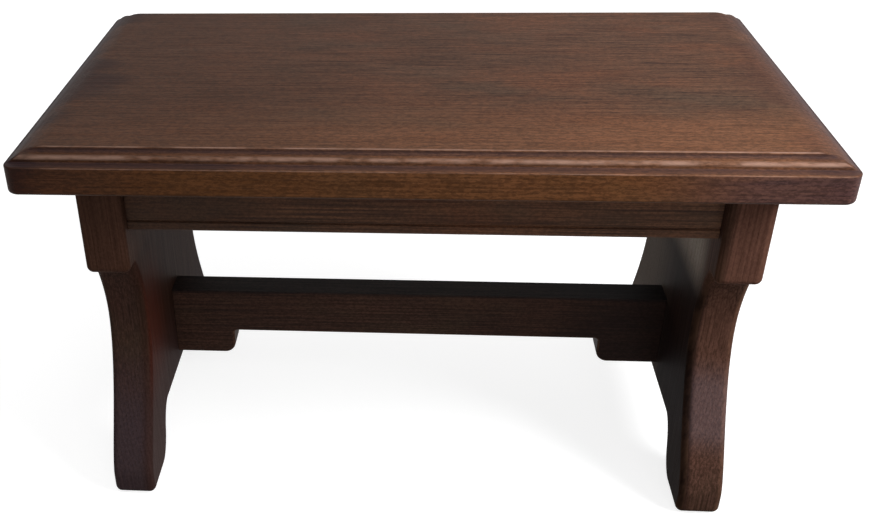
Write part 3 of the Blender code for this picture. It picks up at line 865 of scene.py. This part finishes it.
@dataclass
class EndPanels:
    """The two shaped end panels: a block under the top, a step, a waist and two feet with an arch between.

    A curve's handles are given as shares: of the stretch that it spans, or of the arch's shoulder and height.
    """

    top: float = 0.2312
    outer_x: float = 0.198
    thickness: float = 0.027
    rounding: float = 0.0042
    rounding_steps: int = 8
    block_depth: float = 0.204
    step_z: float = 0.1635
    block_corner: float = 0.0045
    step_width: float = 0.012
    step_corner: float = 0.002
    step_handle: Pair = (0.50, 0.21)
    waist_width: float = 0.151
    waist_height: float = 0.119
    waist_handle_up: float = 0.35
    waist_handle_down: float = 0.41
    foot_spread: float = 0.230
    toe_height: float = 0.014
    toe_handle: float = 0.17
    toe_radius: float = 0.006
    sole_length: float = 0.031
    sole_handle: float = 0.28
    arch_height: float = 0.034
    arch_shoulder: float = 0.032
    arch_middle: Pair = (0.58, 0.55)
    arch_handle: Pair = (0.094, 0.258)
    ceiling_handle: float = 0.17
    left_in_log_mm: Triple = (40.0, -12.0, 80.0)
    right_in_log_mm: Triple = (460.0, 18.0, 88.0)
    # A darker, cooler copy of the stain: painted shade.
    left_oak: StainedOak = StainedOak(
        rub_and_highlight=0.0, specular=0.015, speck_depth=0.11,
        deep_stain="#30231f", even_stain="#4a352d", warm_stain="#54382f", patinas_and_painted_light=(
            # Cool purple grey over the lower legs: painted reflection.
            PatinaAndPaintedLight("#40353a", 0.7, z=(0.10, 0.05)),
            # Paler on the block above the step, under the top's shadow: painted light.
            PatinaAndPaintedLight("#5e3f30", 0.4, z=(0.160, 0.168), crisp=True),
            # Darker on the inner face below the block: painted shade.
            PatinaAndPaintedLight("#362017", 0.6, x=(-0.180, -0.173), z=(0.18, 0.16), crisp=True),
            PatinaAndPaintedLight("#521c11", 0.42, x=(-0.1735, -0.1712), y=(-0.02, -0.065), z=(0.045, 0.095, 0.12, 0.17),
                   crisp=True),
        ))
    right_oak: StainedOak = StainedOak(
        rub_and_highlight=0.1, specular=0.008, speck_depth=0.11,
        deep_stain="#38271f", even_stain="#5b4036", warm_stain="#654438", patinas_and_painted_light=(
            # A pale grey band on the flare of the legs: painted reflection.
            PatinaAndPaintedLight("#7d7078", 0.22, z=(0.035, 0.055, 0.075, 0.100)),
            # Paler on the block above the step, under the top's shadow: painted light.
            PatinaAndPaintedLight("#805648", 0.35, x=(0.1735, 0.1780), z=(0.160, 0.168), crisp=True),
            # Nearly black on the inner face below the block: painted shade.
            PatinaAndPaintedLight("#100a0a", 0.92, x=(0.1780, 0.1735), z=(0.165, 0.135), crisp=True),
            # Grey on the rear of the inner face: painted light and reflection.
            PatinaAndPaintedLight("#74655a", 0.65, x=(0.1725, 0.1711), y=(-0.03, 0.05), z=(0.165, 0.120), crisp=True),
            # Pale grey on the upper front of the inner face: painted reflection.
            PatinaAndPaintedLight("#c0b2a4", 0.8, x=(0.1725, 0.1711), y=(-0.085, -0.060), z=(0.135, 0.165), crisp=True),
        ))

    def outline(self) -> list[Knot]:
        """The outline: +X runs to the panel's front or rear edge, +Y is up."""
        block, waist, toe = self.block_depth / 2, self.waist_width / 2, self.foot_spread / 2
        shoulder, ceiling_z = self.arch_shoulder, self.arch_height
        step = block - self.step_width
        step_height = self.step_z - self.waist_height
        flare = self.waist_height - self.toe_height
        sole_end = toe - self.sole_length
        ceiling = sole_end - shoulder
        (handle_in, handle_down), (slope_x, slope_z) = self.step_handle, self.arch_handle
        hollow = (step - (step - waist) * handle_in, self.step_z - step_height * handle_down)
        neck = rounded_corner((block, self.step_z), (step, self.step_z), hollow, self.step_corner)
        middle_x, middle_z = self.arch_middle
        arch_middle = Vector((sole_end - shoulder * middle_x, ceiling_z * middle_z))
        arch_slope = Vector((shoulder * slope_x, -ceiling_z * slope_z))
        return with_mirror([
            corner(block, self.top),
            *rounded_corner((block, self.top), (block, self.step_z), (step, self.step_z), self.block_corner),
            neck[0],
            Knot(neck[1].point, neck[1].before, Vector(hollow)),
            Knot(
                Vector((waist, self.waist_height)),
                Vector((waist, self.waist_height + step_height * self.waist_handle_up)),
                Vector((waist, self.waist_height - flare * self.waist_handle_down)),
            ),
            Knot(Vector((toe, self.toe_height)), Vector((toe, self.toe_height + flare * self.toe_handle))),
            *rounded_corner((toe, self.toe_height), (toe, 0.0), (sole_end, 0.0), self.toe_radius),
            Knot(Vector((sole_end, 0.0)), None, Vector((sole_end - shoulder * self.sole_handle, 0.0))),
            Knot(arch_middle, arch_middle + arch_slope, arch_middle - arch_slope),
            Knot(Vector((ceiling, ceiling_z)), Vector((ceiling + shoulder * self.ceiling_handle, ceiling_z))),
        ])

    def build(self) -> None:
        """Makes both panels and dresses them."""
        below_top = self.top - WELD_DISTANCE
        for name, side, place_in_log_mm, oak in (
            ("left_end_panel", -1, self.left_in_log_mm, self.left_oak),
            ("right_end_panel", 1, self.right_in_log_mm, self.right_oak),
        ):
            bm = plate(self.outline(), self.thickness)
            rim = [e for e in bm.edges if lies_flat(e) and any(vert.co.y <= below_top for vert in e.verts)]
            round_edges(bm, rim, self.rounding, self.rounding_steps)
            place = stood_up((side * (self.outer_x - self.thickness / 2), 0.0, 0.0), QUARTER_TURN)
            finish = oak.material("stained_oak_" + name, BoardCut.UPRIGHT, place_in_log_mm)
            finish_piece(name, bm, place, finish)


@dataclass
class Stretcher:
    """The board on edge between the panels, cut away below so that its ends are brackets."""

    length: float = 0.3414
    thickness: float = 0.020
    bottom: float = 0.046
    end_depth: float = 0.052
    middle_depth: float = 0.033
    rounding: float = 0.0015
    rounding_steps: int = 6
    bracket_x: float = 0.1285
    bracket_corner: float = 0.008
    bracket_neck: float = 0.0025
    place_in_log_mm: Triple = (900.0, 8.0, 70.0)
    # A darker copy of the stain: painted shade under the seat.
    oak: StainedOak = StainedOak(
        rub_and_highlight=0.2, specular=0.06, deep_stain="#2c1f1b", even_stain="#483229", warm_stain="#52372c", patinas_and_painted_light=(
            # Nearly black towards the right end: painted shade.
            PatinaAndPaintedLight("#140d0d", 0.75, x=(0.06, 0.15)),
            # Nearly black along the top edge, under the seat: painted shade.
            PatinaAndPaintedLight("#120f10", 0.7, z=(0.0955, 0.0975), crisp=True),
        ))

    def outline(self) -> list[Knot]:
        """The outline: +X runs along it, +Y is up from the underside of its brackets."""
        end, bracket = self.length / 2, self.bracket_x
        middle = self.end_depth - self.middle_depth
        return with_mirror([
            corner(end, self.end_depth),
            corner(end, 0.0),
            *rounded_corner((end, 0.0), (bracket, 0.0), (bracket, middle), self.bracket_corner),
            *rounded_corner((bracket, 0.0), (bracket, middle), (0.0, middle), self.bracket_neck),
        ])

    def build(self) -> None:
        """Makes the stretcher and dresses it."""
        bm = plate(self.outline(), self.thickness)
        inner_x = self.length / 2 - WELD_DISTANCE
        rim = [e for e in bm.edges if lies_flat(e) and any(abs(vert.co.x) <= inner_x for vert in e.verts)]
        round_edges(bm, rim, self.rounding, self.rounding_steps)
        finish = self.oak.material("stained_oak_stretcher", BoardCut.ON_EDGE, self.place_in_log_mm)
        finish_piece("stretcher", bm, stood_up((0.0, 0.0, self.bottom)), finish)


@dataclass
class Aprons:
    """The rails under the top's long edges, with a scratched bead along their lower corners."""

    length: float = 0.3414
    middle_y: float = 0.085
    bottom: float = 0.1895
    height: float = 0.0417
    thickness: float = 0.018
    ease: float = 0.0015
    bead_height: float = 0.0058
    bead_radius: float = 0.0025
    groove_width: float = 0.0018
    groove_depth: float = 0.0011
    rounding_steps: int = 12
    front_in_log_mm: Triple = (1400.0, -10.0, 76.0)
    rear_in_log_mm: Triple = (1900.0, 14.0, 84.0)
    # A paler copy of the stain: painted light against the top's shadow.
    oak: StainedOak = StainedOak(even_stain="#654532", patinas_and_painted_light=(
        # Darker towards the left: painted shade.
        PatinaAndPaintedLight("#22160f", 0.55, x=(-0.06, -0.16)),
    ))

    def section(self) -> list[Knot]:
        """The section: its face is at -X and +Y is up from its underside."""
        face, back = -self.thickness / 2, self.thickness / 2
        groove_top = self.bead_height + self.groove_width
        return [
            corner(face, self.height),
            corner(face, groove_top),
            corner(face + self.groove_depth, self.bead_height + self.groove_width / 2),
            corner(face, self.bead_height),
            *rounded_corner((face, self.bead_height), (face, 0.0), (back, 0.0), self.bead_radius),
            *rounded_corner((face, 0.0), (back, 0.0), (back, self.height), self.ease),
            corner(back, self.height),
        ]

    def build(self) -> None:
        """Makes both aprons and dresses them."""
        for name, side, place_in_log_mm in (
            ("front_apron", -1, self.front_in_log_mm),
            ("rear_apron", 1, self.rear_in_log_mm),
        ):
            bm = plate(self.section(), self.length, self.rounding_steps)
            place = stood_up((0.0, side * self.middle_y, self.bottom), -side * QUARTER_TURN)
            finish = self.oak.material("stained_oak_" + name, BoardCut.ON_EDGE, place_in_log_mm)
            finish_piece(name, bm, place, finish)


# What holds the boards together


def dress_node(name: str, material: Material) -> None:
    """Gives a finish to a CAD node that stays."""
    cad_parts[name].material_slots[0].material = material
    LOG.info("%s: dressed in %s", name, material.name)


@dataclass
class CornerBlocks:
    """The glued blocks in the inner corners under the top, sawn and lightly stained."""

    first_in_log_mm: Triple = (0.0, 20.0, 60.0)
    spacing_in_log_mm: float = 60.0
    oak: StainedOak = StainedOak(
        deep_stain="#3b291f", even_stain="#664935", warm_stain="#70492f", olive_stain="#4b3d2f",
        roughness=(0.80, 0.68), specular=0.04, speck_depth=0.22)

    def build(self) -> None:
        """Dresses the four blocks, whose shape stays as it is."""
        x, y, z = self.first_in_log_mm
        for number, name in enumerate(CORNERS):
            place_in_log_mm = (x + self.spacing_in_log_mm * number, y, z)
            finish = self.oak.material("glue_block_oak_" + name, BoardCut.UPRIGHT, place_in_log_mm)
            dress_node("corner_block_" + name, finish)


@dataclass
class TopScrews:
    """The countersunk wood screws that hold the top from below, through the corner blocks."""

    head_radius: float = 0.0039
    head_height: float = 0.0026
    rim_height: float = 0.0004
    rim_ease: float = 0.00015
    shank_radius: float = 0.0020
    plain_height: float = 0.0160
    core_radius: float = 0.0014
    length: float = 0.0468
    tip_height: float = 0.0050
    thread_pitch: float = 0.0018
    thread_width: float = 0.0007
    recess_reach: float = 0.0021
    recess_width: float = 0.0010
    recess_depth: float = 0.0017
    recess_floor_share: float = 0.65
    steps: int = 32
    zinc: ZincPlate = ZincPlate()

    def shank(self) -> BMesh:
        """Turns the screw without its thread and recess. It stands on its head."""
        profile = [
            (0.0, 0.0),
            (self.head_radius - self.rim_ease, 0.0),
            (self.head_radius, self.rim_ease),
            (self.head_radius, self.rim_height),
            (self.shank_radius, self.head_height),
            (self.shank_radius, self.plain_height),
            (self.core_radius, self.plain_height + self.thread_pitch / 2),
            (self.core_radius, self.length - self.tip_height),
            (0.0, self.length),
        ]
        bm = bmesh.new()
        verts = [bm.verts.new((radius, 0.0, height)) for radius, height in profile]
        edges = [bm.edges.new(pair) for pair in zip(verts, verts[1:])]
        bmesh.ops.spin(
            bm, geom=verts + edges, cent=Vector(), axis=(0.0, 0.0, 1.0), angle=2 * pi, steps=self.steps,
            use_merge=True,
        )
        bmesh.ops.remove_doubles(bm, verts=bm.verts[:], dist=WELD_DISTANCE)
        return bm

    def wind_thread(self, bm: BMesh) -> None:
        """Winds the thread round the lower part of the shank."""
        foot = self.plain_height + self.thread_pitch
        turns = int((self.length - self.tip_height - foot) / self.thread_pitch)
        root = self.core_radius - self.rim_ease
        corners = [bm.verts.new(place) for place in (
            (root, 0.0, foot),
            (self.shank_radius, 0.0, foot + self.thread_width / 2),
            (root, 0.0, foot + self.thread_width),
        )]
        ridge = bm.faces.new(corners)
        bmesh.ops.spin(
            bm, geom=[ridge, *ridge.edges, *corners], cent=Vector(), axis=(0.0, 0.0, 1.0),
            dvec=(0.0, 0.0, self.thread_pitch / self.steps), angle=2 * pi * turns, steps=self.steps * turns,
        )

    def under_face(self, bm: BMesh) -> list[BMFace]:
        """The flat faces of the head's underside."""
        return [face for face in bm.faces if all(vert.co.z < WELD_DISTANCE for vert in face.verts)]

    def in_recess(self, point: Vector) -> bool:
        """Whether a point of the head's underside lies in the cross."""
        low, high = sorted((abs(point.x), abs(point.y)))
        return low < self.recess_width / 2 and high < self.recess_reach

    def sink_recess(self, bm: BMesh) -> None:
        """Sinks a plain cross recess into the head."""
        for reach in (self.recess_width / 2, self.recess_reach):
            for across in ((reach, 0.0, 0.0), (-reach, 0.0, 0.0), (0.0, reach, 0.0), (0.0, -reach, 0.0)):
                flat = self.under_face(bm)
                around = {item for face in flat for item in (*face.edges, *face.verts)}
                bmesh.ops.bisect_plane(
                    bm, geom=flat + list(around), dist=WELD_DISTANCE, plane_co=across, plane_no=across)
        cross = [face for face in self.under_face(bm) if self.in_recess(face.calc_center_median())]
        raised = bmesh.ops.extrude_face_region(bm, geom=cross)
        bmesh.ops.delete(bm, geom=cross, context="FACES")
        floor = [item for item in raised["geom"] if isinstance(item, BMVert)]
        bmesh.ops.scale(bm, verts=floor, vec=(self.recess_floor_share, self.recess_floor_share, 1.0))
        bmesh.ops.translate(bm, verts=floor, vec=(0.0, 0.0, self.recess_depth))

    def build(self) -> None:
        """Makes the four screws and dresses them."""
        finish = self.zinc.material()
        for corner_name in CORNERS:
            name = "top_screw_" + corner_name
            low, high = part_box(name)
            bm = self.shank()
            self.sink_recess(bm)
            self.wind_thread(bm)
            bmesh.ops.recalc_face_normals(bm, faces=bm.faces[:])
            place = Matrix.Translation(((low.x + high.x) / 2, (low.y + high.y) / 2, low.z))
            finish_piece(name, bm, place, finish, "turned")


@dataclass
class Dowels:
    """The glued dowels in the ends of the stretcher and the aprons."""

    beech: BareBeech = BareBeech()

    def build(self) -> None:
        """Dresses the twelve dowels, whose shape stays as it is."""
        finish = self.beech.material()
        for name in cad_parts:
            if "_dowel_" in name:
                dress_node(name, finish)


# The studio


def looked_at(tree: NodeTree) -> NodeSocket:
    """Gives 1 to the camera, to reflections and to what shows through glass, and 0 to all other light."""
    rays = add_node(tree, "ShaderNodeLightPath").outputs
    seen = rays["Is Camera Ray"]
    for ray in ("Is Glossy Ray", "Is Transmission Ray"):
        seen = add_node(tree, "ShaderNodeMath", {0: seen, 1: rays[ray]}, operation="MAXIMUM").outputs[0]
    return seen


class Lamp(NamedTuple):
    """A soft lamp: its place, its width and height, its watts, and whether the varnish mirrors it."""

    name: str
    place: Triple
    size: Pair
    power: float
    shines: bool = True


@dataclass
class Studio:
    """A plain pale floor, soft light and the camera."""

    floor_size: float = 12.0
    # The floor looks nearly white, and sends less light back up to the stool than it seems to.
    floor_seen: str = "#bcbcbc"
    floor_bounce: str = "#696765"
    floor_glow: float = 0.8
    world_light: float = 0.18
    lamps: tuple[Lamp, ...] = (
        Lamp("key_lamp", (0.92, -0.43, 0.8), (0.4, 0.4), 12.0),
        Lamp("front_lamp", (0.2, -1.6, 0.75), (1.2, 0.8), 6.0),
        Lamp("rear_lamp", (-0.7, 1.3, 0.18), (1.0, 0.3), 4.0, shines=False),
    )
    lamps_face: Triple = (0.0, 0.0, 0.15)
    ceiling_direction: Triple = (0.1, 0.1, 1.0)
    ceiling_spread: float = radians(70)
    # In watts per square metre, on a surface that faces the ceiling's middle.
    ceiling_light: float = 0.8
    camera_place: Triple = (-0.0021404, -0.6484279, 0.4861794)
    yaw: float = -0.10235
    pitch: float = 0.56738
    roll: float = -0.03278
    focal_px: float = 1074.0922
    frame_px: tuple[int, int] = (873, 516)
    principal_px: Pair = (318.0, 318.0)
    sensor_mm: float = 36.0
    clip_start: float = 0.01

    def add_floor(self) -> None:
        """Lays the floor."""
        bm = bmesh.new()
        bmesh.ops.create_grid(bm, x_segments=1, y_segments=1, size=self.floor_size / 2)
        mesh = bpy.data.meshes.new("floor")
        bm.to_mesh(mesh)
        bm.free()
        coat = Coat("white_studio_floor")
        seen = looked_at(coat.tree)
        colour = coat.tint(linear(self.floor_bounce), self.floor_seen, seen)
        matt = add_node(coat.tree, "ShaderNodeBsdfDiffuse", {"Color": colour})
        glow = add_node(coat.tree, "ShaderNodeEmission", {"Strength": coat.product(seen, self.floor_glow)})
        both = add_node(coat.tree, "ShaderNodeAddShader", {0: matt.outputs[0], 1: glow.outputs[0]})
        add_node(coat.tree, "ShaderNodeOutputMaterial", {"Surface": both.outputs[0]})
        mesh.materials.append(coat.material)
        floor = put_in_scene("floor", mesh)

    def add_world(self) -> None:
        """Sets a dim even light all round, in front of a white background."""
        world = bpy.data.worlds.new("studio")
        bpy.context.scene.world = world
        world.use_nodes = True
        world.node_tree.nodes.clear()
        strength = add_node(world.node_tree, "ShaderNodeMapRange", {
            "Value": looked_at(world.node_tree), "To Min": self.world_light, "To Max": 1.0,
        }).outputs["Result"]
        light = add_node(world.node_tree, "ShaderNodeBackground", {"Strength": strength})
        add_node(world.node_tree, "ShaderNodeOutputWorld", {"Surface": light.outputs[0]})

    def add_lamp(self, lamp: Lamp) -> None:
        """Hangs a lamp that faces the stool."""
        light = bpy.data.lights.new(lamp.name, "AREA")
        light.shape = "RECTANGLE"
        light.size, light.size_y = lamp.size
        light.energy = lamp.power
        hung = put_in_scene(lamp.name, light)
        hung.visible_glossy = lamp.shines
        hung.location = lamp.place
        aim = Vector(self.lamps_face) - Vector(lamp.place)
        hung.rotation_euler = aim.to_track_quat("-Z", "Y").to_euler()

    def add_ceiling(self) -> None:
        """Adds light that falls evenly over the whole floor, as from a wide white ceiling."""
        light = bpy.data.lights.new("ceiling_light", "SUN")
        light.energy = self.ceiling_light
        light.angle = self.ceiling_spread
        ceiling = put_in_scene("ceiling_light", light)
        ceiling.rotation_euler = Vector(self.ceiling_direction).to_track_quat("Z", "Y").to_euler()

    def add_camera(self) -> None:
        """Sets the camera at the photograph's viewing angle."""
        width, height = self.frame_px
        forward = Vector((sin(self.yaw) * cos(self.pitch), cos(self.yaw) * cos(self.pitch), -sin(self.pitch)))
        level = Vector((cos(self.yaw), -sin(self.yaw), 0.0))
        upright = level.cross(forward)
        right = level * cos(self.roll) + upright * sin(self.roll)
        up = upright * cos(self.roll) - level * sin(self.roll)
        place = Matrix((right, up, -forward)).transposed().to_4x4()
        place.translation = Vector(self.camera_place)
        data = bpy.data.cameras.new("camera")
        data.sensor_width = self.sensor_mm
        data.lens = self.focal_px / width * data.sensor_width
        data.shift_x = (width / 2 - self.principal_px[0]) / width
        data.shift_y = (self.principal_px[1] - height / 2) / width
        data.clip_start = self.clip_start
        camera = put_in_scene("camera", data)
        camera.matrix_world = place
        bpy.context.scene.camera = camera

    def build(self) -> None:
        """Sets up the floor, the lights and the camera."""
        self.add_floor()
        self.add_world()
        for lamp in self.lamps:
            self.add_lamp(lamp)
        self.add_ceiling()
        self.add_camera()
        bpy.context.scene.view_settings.view_transform = "Standard"


def main() -> None:
    """Builds the stool's boards in order, then what holds them together, then the studio."""
    logging.basicConfig(level=logging.INFO)
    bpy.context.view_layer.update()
    TopBoard().build()
    EndPanels().build()
    Stretcher().build()
    Aprons().build()
    CornerBlocks().build()
    TopScrews().build()
    Dowels().build()
    Studio().build()


if __name__ == "__main__":
    main()
